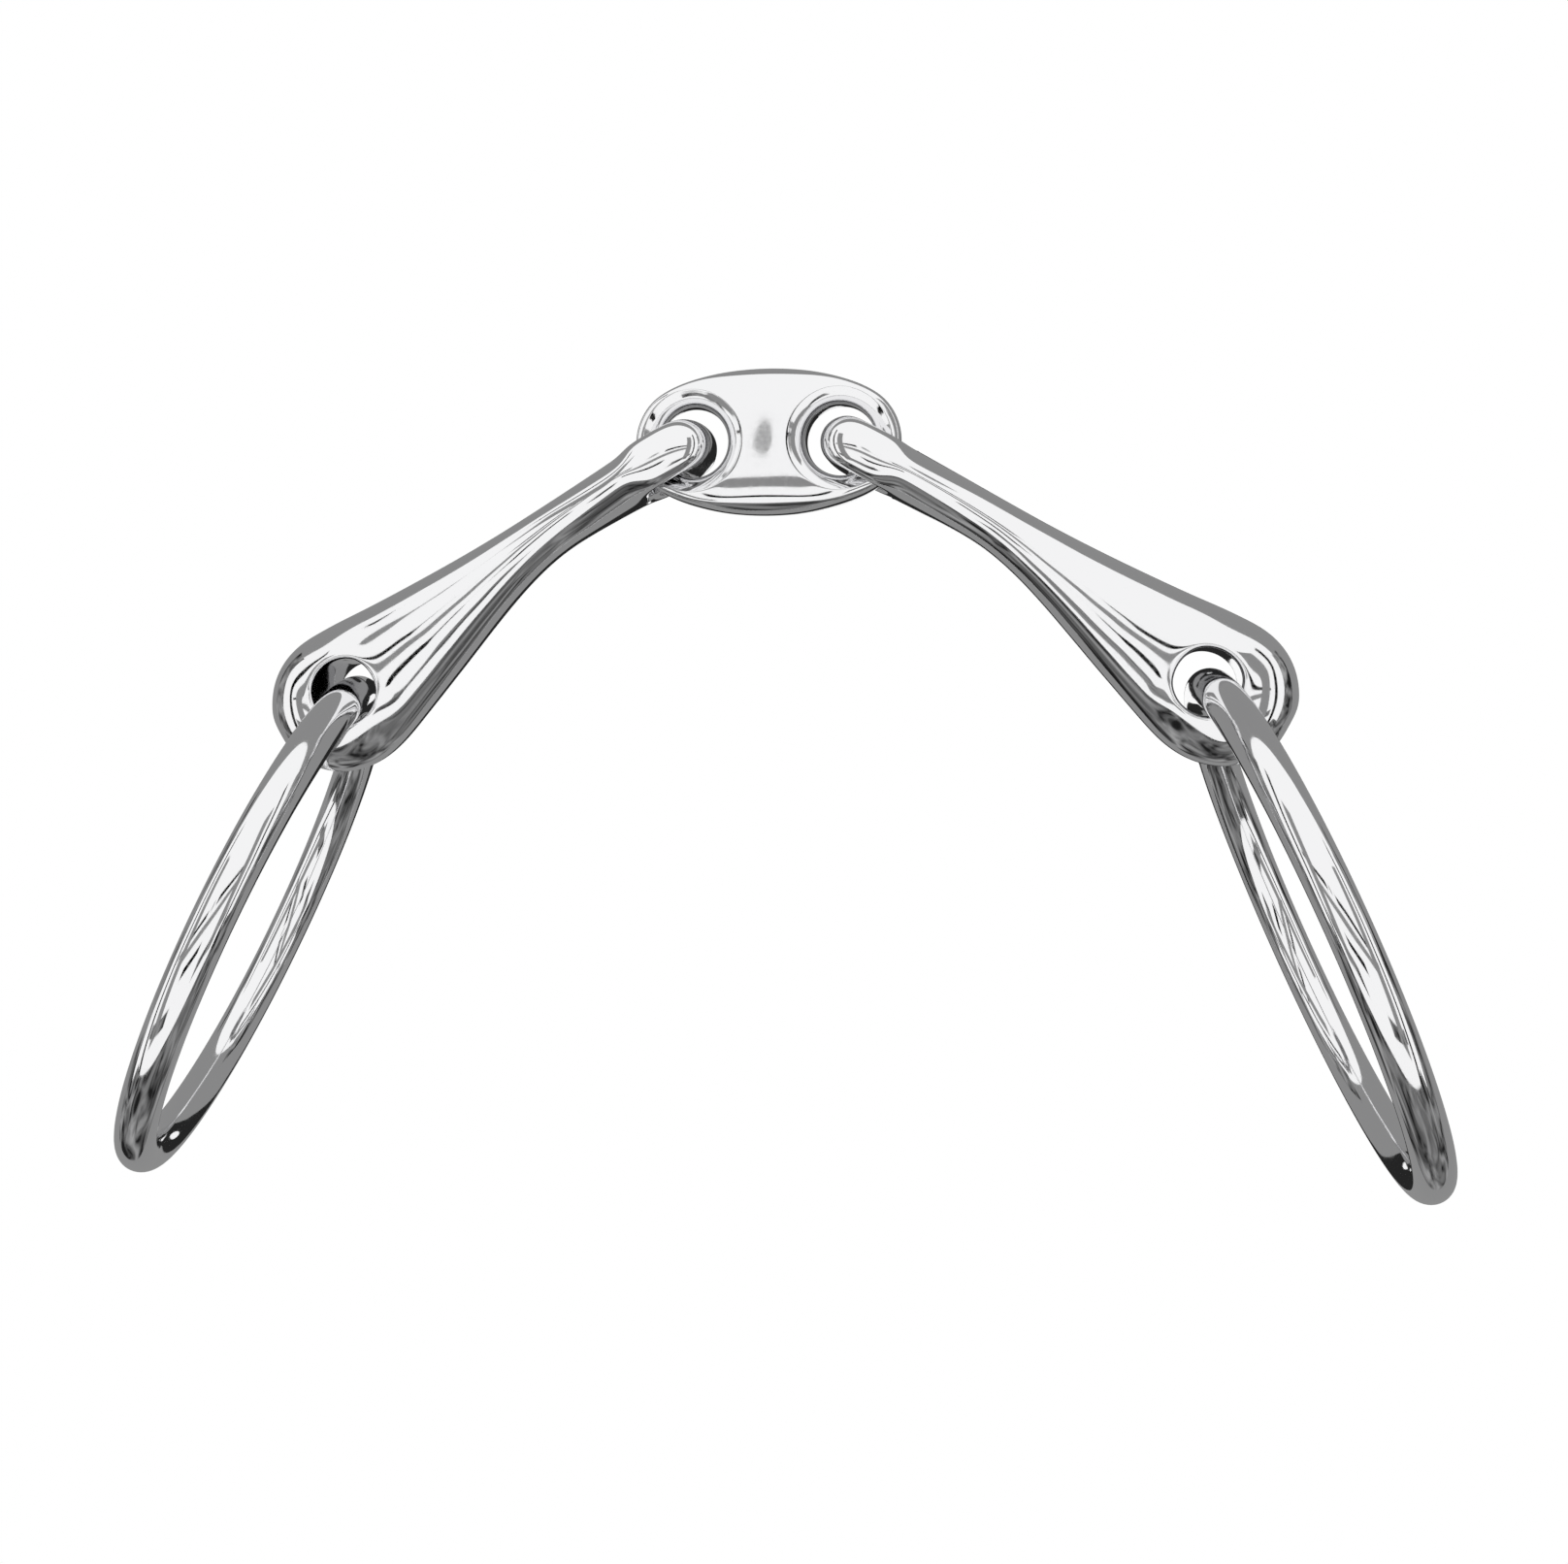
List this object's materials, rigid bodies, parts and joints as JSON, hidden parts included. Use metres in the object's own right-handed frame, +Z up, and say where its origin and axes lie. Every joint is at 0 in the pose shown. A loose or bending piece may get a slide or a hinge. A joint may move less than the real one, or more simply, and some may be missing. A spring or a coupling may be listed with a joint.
{
  "type": "double-jointed loose-ring snaffle bit",
  "caption": "Riding bit with a smooth jointed mouthpiece: two tapered cannons hang on a lozenge link, and a loose round ring passes through the outer end of each cannon.",
  "frame": {"origin": "middle of the centre link, halfway between its two holes and halfway through its thickness", "axes": "+X along the bit to its right end, +Y through the link from front to back, +Z up, with the cannons and rings hanging towards -Z"},
  "size_m": [0.1708, 0.0714, 0.1048],
  "materials": {
    "left_ring": "mirror-polished stainless steel",
    "left_cannon": "mirror-polished stainless steel",
    "centre_link": "mirror-polished stainless steel",
    "right_cannon": "mirror-polished stainless steel",
    "right_ring": "mirror-polished stainless steel"
  },
  "bodies": {
    "link": {"centre_link": "centre_link"},
    "left_side": {"left_cannon": "left_cannon"},
    "left_loop": {"left_ring": "left_ring"},
    "right_side": {"right_cannon": "right_cannon"},
    "right_loop": {"right_ring": "right_ring"}
  },
  "joints": [
    {"name": "left_cannon_droop", "type": "hinge", "parent": "link", "child": "left_side", "pos_m": [-0.0095, 0, 0], "axis": [0, 1, 0], "range_deg": [0, 59]},
    {"name": "right_cannon_droop", "type": "hinge", "parent": "link", "child": "right_side", "pos_m": [0.0095, 0, 0], "axis": [0, -1, 0], "range_deg": [0, 59]},
    {"name": "left_ring_swing", "type": "hinge", "parent": "left_side", "child": "left_loop", "pos_m": [-0.0548, 0, -0.03195], "axis": [0, 1, 0], "range_deg": [-65, 90]},
    {"name": "right_ring_swing", "type": "hinge", "parent": "right_side", "child": "right_loop", "pos_m": [0.05535, 0, -0.03116], "axis": [0, -1, 0], "range_deg": [-65, 90]}
  ]
}
